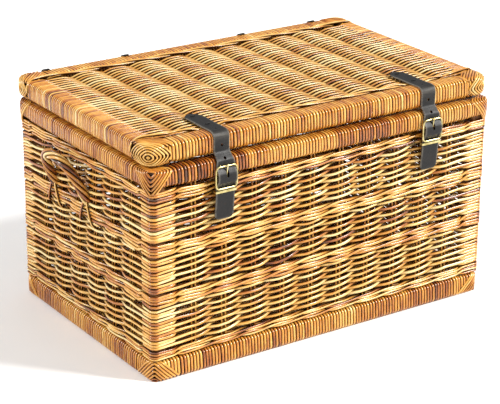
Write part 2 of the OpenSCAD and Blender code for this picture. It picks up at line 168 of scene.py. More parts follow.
class Loop:
    """A closed rounded rectangle in a plane, measured by the distance s along it.

    s is 0 at the middle of the low side of the second axis, and grows towards the first axis."""

    def __init__(self, centre, half, radius):
        arc = np.linspace(-math.pi / 2, 0, 9)
        points, normals = [], []
        for k, way in enumerate(((1, -1), (1, 1), (-1, 1), (-1, -1))):
            corner = np.array(centre) + np.array(way) * (np.array(half) - radius)
            n = np.stack([np.cos(arc + k * math.pi / 2), np.sin(arc + k * math.pi / 2)], 1)
            points.append(corner + radius * n)
            normals.append(n)
        start = np.array([[centre[0], centre[1] - half[1]]])
        down = np.array([[0.0, -1.0]])
        self.points = np.concatenate([start, *points, start])
        self.normals = np.concatenate([down, *normals, down])
        self.s = distances(self.points)
        self.length = self.s[-1]

    def at(self, s):
        """Points and outward directions at the distances s."""
        s = np.mod(s, self.length)
        return at_distance(s, self.s, self.points), unit(at_distance(s, self.s, self.normals))


# ---- Strands: bent tubes gathered into one mesh ----

def add_attribute(mesh, name, values):
    """A number or a vector at each vertex, for the materials to read."""
    kind, field = ("FLOAT", "value") if values.ndim == 1 else ("FLOAT_VECTOR", "vector")
    attribute = mesh.attributes.new(name, kind, "POINT")
    attribute.data.foreach_set(field, values.astype(np.float32).ravel())


class Strands:
    """Many tubes in one mesh, with the tone, shade and grain that the cane materials read."""

    def __init__(self, sides=8):
        self.sides = sides
        self.tubes = []
        self.count = 0

    def add(self, path, outward, half, tone, exposed=1.0, inner=0.25, closed=False):
        """One tube along path. half is its half width across and half thickness outwards, exposed
        and inner say how much light reaches its outer and its inner face."""
        path = np.asarray(path, float)
        n, m = len(path), self.sides
        ahead = np.roll(path, -1, 0) - np.roll(path, 1, 0) if closed else np.gradient(path, axis=0)
        ahead = unit(ahead)
        across = unit(np.cross(ahead, np.broadcast_to(outward, path.shape)))
        out = np.cross(across, ahead)
        angle = 2 * math.pi * np.arange(m) / m
        wide, thick = (np.broadcast_to(h, n).reshape(n, 1, 1) for h in half)
        if not closed:
            taper = np.ones((n, 1, 1))
            taper[[0, -1]] = 0.7
            wide, thick = wide * taper, thick * taper
        sideways = wide * np.cos(angle)[:, None] * across[:, None]
        outwards = thick * np.sin(angle)[:, None] * out[:, None]
        points = (path[:, None] + (sideways + outwards)).reshape(-1, 3)
        i, j = np.meshgrid(np.arange(n if closed else n - 1), np.arange(m), indexing="ij")
        i2, j2 = (i + 1) % n, (j + 1) % m
        quads = np.stack([i * m + j, i2 * m + j, i2 * m + j2, i * m + j2], -1).reshape(-1, 4)
        if not closed:
            k = np.arange(m // 2 - 1)
            cap = np.stack([k, k + 1, m - 2 - k, m - 1 - k], -1)
            quads = np.concatenate([quads, cap, cap[:, ::-1] + (n - 1) * m])
        along = np.tile(distances(path)[:, None], m)
        section = wide[..., 0] * np.cos(angle), thick[..., 0] * np.sin(angle)
        grain = np.stack([along, *section], -1) + random.uniform(0, 50, 3)
        flank = 0.03 + 0.97 * smooth_step((np.abs(np.sin(angle)) - 0.16) / 0.8)
        light = [np.broadcast_to(face, n)[:, None] for face in (exposed, inner)]
        shade = (np.where(np.sin(angle) > 0, *light) * flank).ravel()
        tone = np.repeat(np.broadcast_to(tone, n), m)
        self.tubes.append((points, quads + self.count, tone, shade, grain.reshape(-1, 3)))
        self.count += len(points)

    def build(self, name):
        """The gathered tubes as one object."""
        points, quads, tone, shade, grain = (np.concatenate(each) for each in zip(*self.tubes))
        mesh = bpy.data.meshes.new(name)
        mesh.from_pydata(points, [], quads, shade_flat=False)
        add_attribute(mesh, "tone", tone)
        add_attribute(mesh, "shade", shade)
        add_attribute(mesh, "grain", grain)
        return add_object(name, mesh)


def smooth_path(points, spacing, blur, closed=False):
    """Points spaced evenly along a polyline whose bends are rounded over about blur."""
    points = np.asarray(points, float)
    if closed:
        points = np.concatenate([points, points[:1]])
    s = distances(points)
    fine = 0.25 * blur
    count = max(8, int(s[-1] / fine))
    even = at_distance(np.linspace(0, s[-1], count + 1), s, points)
    reach = 10
    kernel = np.exp(-0.5 * (np.arange(-reach, reach + 1) * fine / blur) ** 2)
    kernel /= kernel.sum()
    if closed:
        padded = np.pad(even[:-1], ((reach, reach), (0, 0)), "wrap")
    else:
        padded = np.pad(even, ((reach, reach), (0, 0)), "reflect", reflect_type="odd")
    even = np.stack([np.convolve(padded[:, i], kernel, "valid") for i in range(3)], 1)
    ring = np.concatenate([even, even[:1]]) if closed else even
    s = distances(ring)
    n = max(4, int(round(s[-1] / spacing)))
    at = np.linspace(0, s[-1], n + 1)
    return at_distance(at[:-1] if closed else at, s, ring)


def eased(s, knots, values):
    """Values at s, easing from each knot to the next."""
    k = np.clip(np.searchsorted(knots, s, "right") - 1, 0, len(knots) - 2)
    t = (s - knots[k]) / np.maximum(knots[k + 1] - knots[k], 1e-9)
    return values[k] + (values[k + 1] - values[k]) * smooth_step(t)


# ---- Materials ----

def linear(code):
    """A hex colour as linear RGBA."""
    rgb = [int(code[i:i + 2], 16) / 255 for i in (1, 3, 5)]
    return [c / 12.92 if c <= 0.04045 else ((c + 0.055) / 1.055) ** 2.4 for c in rgb] + [1.0]


class Material:
    """A procedural material, built with short calls."""

    def __init__(self, name):
        self.material = bpy.data.materials.new(name)
        self.material.use_nodes = True
        self.tree = self.material.node_tree
        self.shader = self.tree.nodes["Principled BSDF"]

    def put(self, socket, value):
        """Links an output to a socket, or sets the socket's value."""
        if isinstance(value, bpy.types.NodeSocket):
            self.tree.links.new(value, socket)
        else:
            socket.default_value = value

    def set(self, name, value):
        """Links or sets one input of the shader."""
        self.put(self.shader.inputs[name], value)

    def node(self, kind, inputs=(), output=0, **settings):
        """One output of a new node."""
        node = self.tree.nodes.new("ShaderNode" + kind)
        for key, value in settings.items():
            setattr(node, key, value)
        for key, value in dict(inputs).items():
            self.put(node.inputs[key], value)
        return node.outputs[output]

    def attribute(self, name, output="Fac"):
        return self.node("Attribute", output=output, attribute_name=name)

    def math(self, operation, a, b):
        return self.node("Math", {0: a, 1: b}, operation=operation)

    def noise(self, vector, scale, detail=3.0):
        """Noise with a scale of its own along each axis of the vector."""
        scaled = self.node("VectorMath", {0: vector, 1: scale}, operation="MULTIPLY")
        inputs = {"Vector": scaled, "Scale": 1.0, "Detail": detail, "Roughness": 0.6}
        return self.node("TexNoise", inputs, "Fac")

    def ramp(self, factor, stops):
        """A colour ramp through hex colours."""
        node = self.tree.nodes.new("ShaderNodeValToRGB")
        elements = node.color_ramp.elements
        while len(elements) < len(stops):
            elements.new(0.5)
        for element, (position, code) in zip(elements, stops):
            element.position = position
            element.color = linear(code)
        self.put(node.inputs["Fac"], factor)
        return node.outputs["Color"]

    def mixed(self, factor, a, b, blend="MIX"):
        """Colour b over colour a."""
        node = self.tree.nodes.new("ShaderNodeMix")
        node.data_type, node.blend_type = "RGBA", blend
        self.put(node.inputs[0], factor)
        self.put(node.inputs[6], a)
        self.put(node.inputs[7], b)
        return node.outputs[2]

    def remap(self, value, low, high, to_low, to_high):
        inputs = {"Value": value, "From Min": low, "From Max": high, "To Min": to_low, "To Max": to_high}
        return self.node("MapRange", inputs)

    def bump(self, height, strength, distance):
        inputs = {"Height": height, "Strength": strength, "Distance": distance}
        self.set("Normal", self.node("Bump", inputs))


CANE_TONES = [
    (0.0, "#331505"), (0.15, "#6f320e"), (0.3, "#a15518"), (0.46, "#c67f2a"),
    (0.62, "#db9c3f"), (0.8, "#e9b862"), (1.0, "#f6d896"),
]


def cane(name, roughness, coat, coat_roughness):
    """Varnished willow. Its attributes give each strand its own tone and grain."""
    m = Material(name)
    grain = m.attribute("grain", "Vector")
    mottle = m.noise(grain, (32, 110, 110))
    streak = m.noise(grain, (60, 1500, 1500), 2.0)
    shade = m.attribute("shade")
    tone = m.math("ADD", m.attribute("tone"), m.remap(mottle, 0.28, 0.72, -0.2, 0.18))
    tone = m.math("ADD", tone, m.remap(streak, 0.3, 0.7, -0.1, 0.1))
    tone = m.math("ADD", tone, m.remap(shade, 0.2, 1.0, -0.2, 0.1))
    colour = m.ramp(tone, CANE_TONES)
    scar = m.noise(grain, (38, 260, 260), 1.0)
    scar = m.remap(scar, 0.66, 0.74, 0.0, 0.55)
    colour = m.mixed(scar, colour, linear("#6a3516"))
    shaded = m.mixed(shade, linear("#1e0c04"), (1, 1, 1, 1))
    colour = m.mixed(1.0, colour, shaded, "MULTIPLY")
    m.set("Base Color", colour)
    m.set("Roughness", m.remap(streak, 0.2, 0.8, roughness - 0.08, roughness + 0.1))
    m.set("Specular Tint", (1.0, 0.82, 0.55, 1.0))
    m.set("Coat Weight", m.math("MULTIPLY", shade, coat))
    m.set("Specular IOR Level", m.math("MULTIPLY", shade, 0.5))
    m.set("Coat Roughness", coat_roughness)
    m.bump(streak, 0.35, 0.0004)
    return m.material


def timber(name, dark, light, axis):
    """Plain stained wood, its grain along one axis."""
    m = Material(name)
    place = m.node("TexCoord", output="Object")
    stretch = [260, 260, 260]
    stretch[axis] = 12
    fibre = m.noise(place, tuple(stretch), 4.0)
    m.set("Base Color", m.ramp(fibre, [(0.3, dark), (0.7, light)]))
    m.set("Roughness", m.remap(fibre, 0.2, 0.8, 0.5, 0.7))
    m.bump(fibre, 0.3, 0.0005)
    return m.material


def leather(name):
    """Dark strap leather with worn edges, pores and faint creases."""
    m = Material(name)
    place = m.node("TexCoord", output="Object")
    cloud = m.noise(place, (28, 28, 28), 4.0)
    pores = m.node("TexVoronoi", {"Vector": place, "Scale": 900.0}, "Distance")
    crease = m.noise(place, (60, 420, 420))
    colour = m.ramp(cloud, [(0.3, "#0d0d0d"), (0.55, "#161515"), (0.75, "#211f1e")])
    worn = m.math("MULTIPLY", m.attribute("worn"), m.remap(crease, 0.35, 0.6, 0.35, 1.0))
    colour = m.mixed(worn, colour, linear("#7d776c"))
    m.set("Base Color", colour)
    m.set("Specular IOR Level", 0.3)
    m.set("Roughness", m.remap(cloud, 0.3, 0.7, 0.42, 0.62))
    height = m.math("ADD", pores, m.math("MULTIPLY", crease, 1.5))
    m.bump(height, 0.35, 0.0004)
    return m.material


def brass(name):
    """Cast brass, dull in the hollows and bright where it rubs."""
    m = Material(name)
    place = m.node("TexCoord", output="Object")
    cloud = m.noise(place, (90, 90, 90), 4.0)
    colour = m.ramp(cloud, [(0.3, "#a3925a"), (0.6, "#d9cb92"), (0.8, "#efe6c0")])
    m.set("Base Color", colour)
    m.set("Metallic", 1.0)
    m.set("Roughness", m.remap(cloud, 0.3, 0.7, 0.24, 0.42))
    m.bump(cloud, 0.1, 0.0003)
    return m.material


WILLOW = cane("willow", 0.4, 0.85, 0.2)
CANE_WRAP = cane("cane_wrap", 0.36, 0.7, 0.17)
WOOD = timber("stained_wood", "#2c1508", "#5c3316", 0)
POST_WOOD = timber("post_wood", "#5b3417", "#96602c", 2)
LEATHER = leather("strap_leather")
BRASS = brass("brass")

SLOT_MATERIALS = {"willow": WILLOW, "cane_wrap": CANE_WRAP, "leather": LEATHER}


def settle(strands, name, body, slot, *nodes):
    """Builds a piece, gives it the material named by slot, attaches it to its body and hides the CAD
    nodes it stands for.
    """
    obj = strands.build(name)
    obj.data.materials.append(SLOT_MATERIALS[slot])
    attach(obj, body)
    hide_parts(*nodes)


# ---- Woven wall ----

wall_low, wall_high = span("lower_weave")
wall_half = (wall_high - wall_low)[:2] / 2 - WALL_T / 2
wall_loop = Loop((0, 0), wall_half, 1.5 * MM)
AMPLITUDE = STAKE_D / 2 + WEAVER[1] + 0.7 * MM


def side_places(count):
    """Places of this many stake or rib pairs, from the middle of their side."""
    return (np.arange(count) - (count - 1) / 2) * STAKE_PITCH


def wall_stations():
    """Distances along the wall of the stake pairs and corner posts, in order, and which are posts."""
    places, posts = [], []
    for k in range(4):
        centre = k * wall_loop.length / 4
        pairs = centre + side_places(PAIRS_SHORT if k % 2 else PAIRS_LONG)
        places += [*pairs, centre + wall_half[k % 2] - 0.3 * MM]
        posts += [False] * len(pairs) + [True]
    return np.array(places), np.array(posts)


STATIONS, IS_POST = wall_stations()
PAIRS = STATIONS[~IS_POST]
CORNER_S = STATIONS[IS_POST]
FROM_SIDE_MIDDLE = np.abs(np.mod(STATIONS, wall_loop.length / 2) - wall_loop.length / 4)
ON_SHORT_SIDE = FROM_SIDE_MIDDLE < wall_half[1] - 5 * MM


def wall_knots(values_at, plateau=STAKE_HALF):
    """Knots round the wall that hold a value across each stake pair, and longer at a post."""
    beside = np.where(ON_SHORT_SIDE, POST_SIDE[1], POST_SIDE[0])
    before = np.where(np.roll(IS_POST, 1), beside, plateau)
    after = np.where(np.roll(IS_POST, -1), beside, plateau)
    before[IS_POST] = POST_CLEAR * 2
    after[IS_POST] = POST_CLEAR[::-1] * 2
    knots, values = [], []
    for turn in (-1, 0, 1):
        place = STATIONS + turn * wall_loop.length
        knots += list(np.column_stack([place - before, place + after]).ravel())
        values += list(np.repeat(values_at, 2))
    return np.array(knots), np.array(values)


def wall_path(s, offset, z):
    """Points this far outside the middle of the wall, and their outward directions."""
    p, n = wall_loop.at(s)
    path = np.column_stack([p + n * offset[:, None], z])
    return path, np.column_stack([n, np.zeros(len(s))])


def both_faces(level):
    """How much light reaches the two faces of a row at this level, from -1 inside to 1 outside."""
    rise = smooth_step(np.clip(level, -1, 1) * 0.5 + 0.5)
    return 0.5 + 0.5 * rise, 0.75 - 0.35 * rise


def away(s):
    """0 on the front and the left side, 1 on the right side and the back."""
    around = np.mod(s, wall_loop.length)
    quarter = wall_loop.length / 4
    turned = smooth_step((around - quarter + wall_half[1]) / (20 * MM))
    returned = smooth_step((around - 3 * quarter + wall_half[1]) / (20 * MM))
    return turned - returned


def painted_corner_shade(s):
    """Painted shade: how much darker a rod is drawn close to each corner post, where the corner faces
    neither light.
    """
    past = np.mod(s[:, None] - CORNER_S + wall_loop.length / 2, wall_loop.length) - wall_loop.length / 2
    return 0.26 * np.exp(-(np.abs(past) / (5.5 * MM)) ** 2).sum(1)


def rod_steps(a, b):
    """Distances from a to b, closer together at the corners."""
    s = np.arange(a, b, 5.4 * MM)
    near = np.linspace(-7 * MM, 7 * MM, 8)
    turns = np.arange(-1, 2) * wall_loop.length
    close = (CORNER_S[:, None, None] + turns[:, None] + near).ravel()
    close = close[(close > a + 2 * MM) & (close < b - 2 * MM)]
    far = np.abs(s[:, None] - close).min(1) > 2 * MM if len(close) else np.ones(len(s), bool)
    return np.sort(np.concatenate([s[far], close]))


def randing_rod(strands, start, rows, low_z, pitch):
    """One rod of the wall. It starts behind a stake pair, goes on in front of one pair and behind
    the next, and is one row higher at each pair it comes to."""
    signs = np.ones(len(STATIONS))
    signs[~IS_POST] = np.where((np.arange(len(PAIRS)) - start) % 2 == 0, -1.0, 1.0)
    knots, values = wall_knots(signs)
    passed = start + np.arange(-1, rows + 1)
    places = PAIRS[passed % len(PAIRS)] + wall_loop.length * (passed // len(PAIRS))
    s = rod_steps(places[1] - ROD_START, places[-2] + ROD_END)
    row = np.clip(np.interp(s, places, np.arange(-1, rows + 1)), -0.1, rows - 0.9)
    even = away(s)
    drift = soft_noise(wall_loop.length, DRIFT, 60 * MM)(s) * (1 - 0.7 * even)
    offset = AMPLITUDE * eased(np.mod(s, wall_loop.length), knots, values)
    sag = (SAG + (SAG_BACK - SAG) * even) * offset / AMPLITUDE
    path, outward = wall_path(s, offset, low_z + (row + 0.5) * pitch + drift - sag)
    size = random.uniform(0.9, 1.08) * np.linspace(1.1, 0.9, len(s))
    size = size + (1.08 - size) * even
    # The rod's tone is lowered by painted shade beside the corner posts.
    tone = random.normal(0.67, 0.16) + soft_noise(1.0, 0.05, 0.09)(s) - painted_corner_shade(s)
    strands.add(path, outward, WEAVER[:, None] * size, tone, *both_faces(offset / AMPLITUDE))


def wale_round(strands, z, height):
    """One round of three-rod wale: each rod passes two pairs in front, then one behind."""
    half = height / 4
    for rod in range(3):
        phase = (np.arange(len(STATIONS)) - rod) % 3
        knots, depth = wall_knots(np.where(phase == 0, -1.0, 1.15), 4 * MM)
        climb, level = wall_knots(np.array([0.0, -1.0, 1.0])[phase], 1 * MM)
        drift = soft_noise(wall_loop.length, DRIFT, 70 * MM)
        cuts = np.sort(random.choice(len(STATIONS) // 3, 3, replace=False)) * 3 + rod
        starts = STATIONS[cuts % len(STATIONS)] + wall_loop.length * (cuts // len(STATIONS))
        for a, b in zip(starts, np.append(starts[1:], starts[0] + wall_loop.length)):
            s = rod_steps(a - ROD_START, b + ROD_START)
            around = np.mod(s, wall_loop.length)
            tuck = smooth_step((s - (b - 12 * MM)) / (16 * MM))
            offset = AMPLITUDE * eased(around, knots, depth) - 4 * MM * tuck
            level_at = z + half * eased(around, climb, level) + drift(s)
            path, outward = wall_path(s, offset, level_at)
            # The rod's tone is lowered by painted shade beside the corner posts.
            tone = random.normal(0.62, 0.15) + soft_noise(1.0, 0.05, 0.09)(s) - painted_corner_shade(s)
            size = random.uniform(0.95, 1.05)
            section = (half * 1.04 * size, WEAVER[1] * size)
            strands.add(path, outward, section, tone, *both_faces(offset / AMPLITUDE))


for band, rows in ROW_COUNTS.items():
    low, high = span(band)
    pitch = (high[2] - low[2]) / rows
    strands = Strands()
    for start in range(len(PAIRS)):
        randing_rod(strands, start, rows, low[2], pitch)
    settle(strands, band + "_rows", "trunk", "willow", band)

for band in WALES:
    low, high = span(band)
    height = (high[2] - low[2]) / WALE_ROUNDS
    strands = Strands()
    for k in range(WALE_ROUNDS):
        wale_round(strands, low[2] + (k + 0.5) * height, height)
    settle(strands, band + "_rods", "trunk", "willow", band)


def upright(strands, x, y, low_z, high_z, outward):
    """One stake, not quite straight."""
    z = np.arange(low_z, high_z + 5 * MM, 10 * MM)
    bend = soft_noise(0.4, 0.25 * MM, 0.08)
    sway = soft_noise(0.4, 0.15 * MM, 0.08)
    path = np.column_stack([x + bend(z) * outward[1] + sway(z) * outward[0],
                            y + bend(z) * outward[0] + sway(z) * outward[1], z])
    r = STAKE_D / 2 * random.uniform(0.95, 1.03)
    strands.add(path, outward, (r, r), random.normal(0.5, 0.12), 0.8, 0.6)


def in_pairs(places, gap):
    """The two places beside each of these, a gap apart."""
    return np.add.outer(places, np.array([-0.5, 0.5]) * gap).ravel()


# The axis that each side of the trunk runs along, and the direction it faces
AXIS = {"front": 0, "back": 0, "left": 1, "right": 1}
OUTWARD = {"front": (0, -1, 0), "right": (1, 0, 0), "back": (0, 1, 0), "left": (-1, 0, 0)}

for name, outward in OUTWARD.items():
    node = "stakes_" + name
    low, high = span(node)
    foot = middle(node)
    pairs = side_places(PAIRS_SHORT if AXIS[name] else PAIRS_LONG)
    strands = Strands()
    for place in in_pairs(pairs, STAKE_GAP):
        foot[AXIS[name]] = place
        upright(strands, foot[0], foot[1], low[2], high[2], outward)
    settle(strands, node + "_rods", "trunk", "willow", node)


# ---- Wrapped frames ----

class WrappedFrame:
    """The box, bars and edges of one wrapped frame."""

    def __init__(self, name):
        self.low, self.high = span(name + "_corners")
        bar_low, bar_high = span(name + "_wrap_front")
        self.bar = bar_high[1] - bar_low[1]
        self.height = self.high[2] - self.low[2]
        self.edge = EDGE[name]
        self.middle = (self.low + self.high) / 2
        self.half = (self.high - self.low) / 2

    def outline(self, side, sink):
        """The loop a turn of cane follows round one bar, in the plane across the bar."""
        axis = 1 - AXIS[side]
        edge = self.low[axis] if side in ("front", "left") else self.high[axis]
        inward = 1 if side in ("front", "left") else -1
        centre = (edge + inward * self.bar / 2, self.middle[2])
        half = np.array([self.bar, self.height]) / 2 - sink
        return Loop(centre, half, self.edge - sink)


FRAMES = {name: WrappedFrame(name) for name in ("base", "rim", "lid")}


def wind(strands, frame_, side, start, end, tone_at, sink=WRAP[1]):
    """Cane wound round one bar from start to end, in lengths of 5 to 14 turns."""
    loop = frame_.outline(side, sink)
    per_turn = 26
    turns = max(1, int(round((end - start) / WRAP_PITCH)))
    pitch = (end - start) / turns
    shift = soft_noise(end - start + 0.1, 0.22 * MM, 14 * MM)
    first = 0
    while first < turns:
        last = min(turns, first + int(random.integers(5, 15)))
        i = np.arange(first * per_turn, last * per_turn + 1)
        along = start + i / per_turn * pitch
        p, n = loop.at(i / per_turn * loop.length)
        along = along + shift(along)
        turn_tone = random.normal(0, 0.075, turns + 1)[i // per_turn]
        tone = tone_at((along[0] + along[-1]) / 2) + random.normal(0, 0.035) + turn_tone
        path = np.insert(p, AXIS[side], along, 1)
        outward = np.insert(n, AXIS[side], 0, 1)
        width = WRAP[0] * random.uniform(0.96, 1.04) * pitch / WRAP_PITCH
        strands.add(path, outward, (width, WRAP[1]), tone)
        first = last


def stretches(length, tones):
    """The slow change of tone along one bar, where one batch of cane follows another."""
    places = np.linspace(-length / 2, length / 2, len(tones))
    slow = soft_noise(length, 0.05, length / 7)
    return lambda x: np.interp(x, places, tones) + float(slow(np.array([x]))[0])


# How far from the end of a bar the winding starts, under the corner's own strands
CORNER_REACH = {"base": 22 * MM, "rim": 26 * MM, "lid": 22 * MM}
# Tones of the cane from one end of a bar to the other. Two front bars have tones of their own
BAR_TONES = {
    "base": [0.52, 0.4, 0.54, 0.5, 0.34, 0.36],
    "rim": [0.28, 0.42, 0.3, 0.38],
    "lid": [0.46, 0.38, 0.5, 0.44],
    "rim_front": [0.28, 0.28, 0.22, 0.47, 0.54, 0.38, 0.24, 0.38, 0.5, 0.48, 0.26],
    "lid_front": [0.56, 0.45, 0.36, 0.53, 0.5, 0.32, 0.43, 0.53, 0.55, 0.47],
}

for name, frame_ in FRAMES.items():
    for side, axis in AXIS.items():
        if name == "lid" and axis == 1:
            continue
        low, high = frame_.low[axis], frame_.high[axis]
        reach = CORNER_REACH[name]
        tone_at = stretches(high - low, BAR_TONES.get(f"{name}_{side}", BAR_TONES[name]))
        strands = Strands(6)
        wind(strands, frame_, side, low + CORNER, high - CORNER, tone_at)
        for a, b in ((low + reach, low + CORNER), (high - CORNER, high - reach)):
            wind(strands, frame_, side, a, b, tone_at, WRAP[1] + 1.2 * MM)
        node = f"{name}_wrap_{side}"
        body = "lid" if name == "lid" else "trunk"
        settle(strands, node + "_turns", body, "cane_wrap", node)


# ---- Wrapped corners ----

class Corner:
    """One corner of a frame, unrolled.

    u runs round the plan outline from the corner's middle, towards the short side where it is
    negative. v runs up the face from mid-height and over the top edge, or down and under."""

    def __init__(self, frame_, sx, sy):
        self.frame, self.sx, self.sy = frame_, sx, sy
        self.flat = frame_.half[2] - frame_.edge
        self.quarter = frame_.edge * math.pi / 2
        self.arc = CORNER_ROUND * math.pi / 4

    def place(self, px, py, z):
        """A point given by its distances in from the short side and the long side."""
        f = self.frame
        x = f.middle[0] + self.sx * (f.half[0] - px)
        y = f.middle[1] + self.sy * (f.half[1] - py)
        return np.column_stack([x, y, np.broadcast_to(z, np.shape(x))])

    def face(self, u, v, sink, flare=None):
        """Points on the unrolled face, sunk below it."""
        u, v = np.broadcast_arrays(np.asarray(u, float), np.asarray(v, float))
        phi = np.clip(u / CORNER_ROUND, -math.pi / 4, math.pi / 4) + math.pi / 4
        beyond = np.maximum(np.abs(u) - self.arc, 0)
        turn = np.clip((np.abs(v) - self.flat) / self.frame.edge, 0, math.pi / 2)
        over = np.maximum(np.abs(v) - self.flat - self.quarter, 0)
        e = self.frame.edge - sink
        inset = self.frame.edge - e * np.cos(turn) + over
        rise = np.minimum(np.abs(v), self.flat) + e * np.sin(turn)
        if flare is not None:
            inset = np.where(v < -self.flat, sink + flare * (np.abs(v) - self.flat), inset)
            rise = np.where(v < -self.flat, np.abs(v), rise)
        px = CORNER_ROUND - (CORNER_ROUND - inset) * np.cos(phi) + np.where(u > 0, beyond, 0)
        py = CORNER_ROUND - (CORNER_ROUND - inset) * np.sin(phi) + np.where(u < 0, beyond, 0)
        return self.place(px, py, self.frame.middle[2] + np.sign(v) * rise)

    def out(self, path):
        """Outward directions for a path that wraps the corner."""
        heart = self.place(np.array([CORNER_ROUND]), np.array([CORNER_ROUND]), self.frame.middle[2])
        from_heart = path - heart
        from_heart[:, 2] *= 1.6
        return unit(from_heart)


def corners(frame_):
    """The four corners of a frame."""
    return [Corner(frame_, sx, sy) for sx in (-1, 1) for sy in (-1, 1)]


def add_on_corner(strands, corner, points, closed, tone, half):
    """One strand over a corner, its bends rounded."""
    path = smooth_path(points, 4 * MM, 2.2 * MM, closed)
    tone = tone + random.normal(0, 0.05)
    strands.add(path, corner.out(path), half, tone, closed=closed)


def diagonal(corner, total, z_sign, sink, limit):
    """Points of a strand that crosses the top or bottom face where px + py = total."""
    f = corner.frame
    w_max = min(total / 2 - 1.5 * MM, limit - total / 2)
    w = np.linspace(-w_max, w_max, 15)
    px, py = total / 2 + w, total / 2 - w
    near = np.clip(np.minimum(px, py), 0, f.edge)
    drop = f.edge - np.sqrt(np.maximum(f.edge ** 2 - (f.edge - near) ** 2, 0))
    if w_max < total / 2 - 3 * MM:
        drop = drop + 3.2 * MM * smooth_step((np.abs(w) - (w_max - 7 * MM)) / (7 * MM))
    z = f.middle[2] + z_sign * (f.half[2] - sink - drop)
    return corner.place(px, py, z)


CHEVRON_STEP = 6.9 * MM
FINE = np.array([2.45, 2.3]) * MM


def chevron(strands, corner, reach, way, tone, slope=1.0, flare=None):
    """One strand bent round the corner's upright edge in a V, or a V upside down, and closed
    across the top or bottom face."""
    edge_v = corner.flat + corner.quarter / 2
    u = np.linspace(-reach, reach, 33)
    v = way * (edge_v - slope * (reach - np.abs(u)))
    side = corner.face(u, v, 1.9 * MM, flare)
    total = reach + CORNER_ROUND - corner.arc + 7 * MM
    across = diagonal(corner, total, way, 1.9 * MM, 60 * MM)
    if np.linalg.norm(across[0] - side[-1]) > np.linalg.norm(across[-1] - side[-1]):
        across = across[::-1]
    add_on_corner(strands, corner, np.concatenate([side, across[2:-2]]), True, tone, FINE)


LENS_RINGS = 7
LENS_CENTRE = -2 * MM
LENS_STEP = np.array([6.4, 4.5, 3.9]) * MM


def lens(strands, corner, k, tone):
    """Ring k of the lens woven over a lid corner, counted from its centre."""
    a, b, c = LENS_STEP * (k - 0.45)
    u = np.linspace(-1, 1, 25)
    arch = 1 - np.abs(u) ** 1.7
    upper = corner.face(u * a, LENS_CENTRE + b * arch, 0.9 * MM)
    lower = corner.face(u[::-1] * a, LENS_CENTRE - c * arch[::-1], 0.9 * MM)
    add_on_corner(strands, corner, np.concatenate([upper, lower[1:-1]]), True, tone, (2.0 * MM, 2.1 * MM))


def fan(strands, corner, k, tone):
    """A strand that runs from the short bar over the corner to the long bar's inner edge."""
    f = corner.frame
    t = np.linspace(0, 1, 14)
    px = (12 + 3 * k + (52 + 10 * k) * t) * MM
    py = (46 - 5 * k - (12 - 5 * k) * smooth_step(t * 1.3)) * MM
    dive = 3 * MM * (smooth_step((0.12 - t) / 0.12) + smooth_step((t - 0.88) / 0.12))
    path = corner.place(px, py, f.high[2] - 1.2 * MM - dive)
    add_on_corner(strands, corner, path, False, tone, (2.3 * MM, 2.1 * MM))


def chevron_corners(name, way, outer, step, tones, **shape):
    """The nested Vs on the corners of one frame, from the outer one in, each with its tone."""
    strands = Strands()
    for corner in corners(FRAMES[name]):
        for k, tone in enumerate(tones):
            chevron(strands, corner, (outer - k * step) * MM, way, tone, **shape)
    settle(strands, name + "_corner_strands", "trunk", "cane_wrap", name + "_corners")


chevron_corners("base", -1, 48, 7, [0.56, 0.56, 0.5, 0.46, 0.44, 0.42, 0.36])
chevron_corners("rim", 1, 39, 6, [0.6, 0.5, 0.42, 0.32, 0.26, 0.3], slope=1.22, flare=0.12)

strands = Strands()
for corner in corners(FRAMES["lid"]):
    for total in np.arange(36 * MM, 77 * MM, CHEVRON_STEP):
        path = diagonal(corner, total, 1, 1.4 * MM, 50 * MM)
        add_on_corner(strands, corner, path, False, 0.44, FINE)
        path = diagonal(corner, total, -1, 1.9 * MM, 50 * MM)
        add_on_corner(strands, corner, path, False, 0.45, FINE)
    for k in range(1, LENS_RINGS + 1):
        lens(strands, corner, k, 0.66)
    for k in range(3):
        fan(strands, corner, k, 0.5)
settle(strands, "lid_corner_strands", "lid", "cane_wrap", "lid_corners")


# ---- Lid panel and floor ----

def rib_knots(last, end_value, sign):
    """Where a row passes over or under the rib pairs, from one end of the panel to the other."""
    places = side_places(PANEL_RIBS)
    signs = sign * np.where(np.arange(PANEL_RIBS) % 2 == 0, 1.0, -1.0)
    reach = RIB_GAP / 2 + RIB_D / 2
    knots = np.concatenate([[-last], *([p - reach, p + reach] for p in places), [last]])
    values = np.concatenate([[end_value], np.repeat(signs, 2), [end_value]])
    return knots, values


def row_places(low, high, pitch):
    """The middle of each row between two sides of a panel."""
    count = int((high - low) / pitch)
    return low + (np.arange(count) + 0.5) * (high - low) / count


def bar_turn(f, inner):
    """The (x, z) points of a row's turn round the right bar of the lid, from above its inner edge."""
    loop = f.outline("right", WRAP[1])
    turn = loop.at(np.linspace(0, loop.length, 27)[:-1])[0]
    from_start = np.abs(turn[:, 0] - (inner + 9 * MM)) + 10 * (turn[:, 1] < f.middle[2])
    start = int(np.argmin(from_start))
    return turn[[(start - k) % len(turn) for k in range(len(turn) - 3)]]


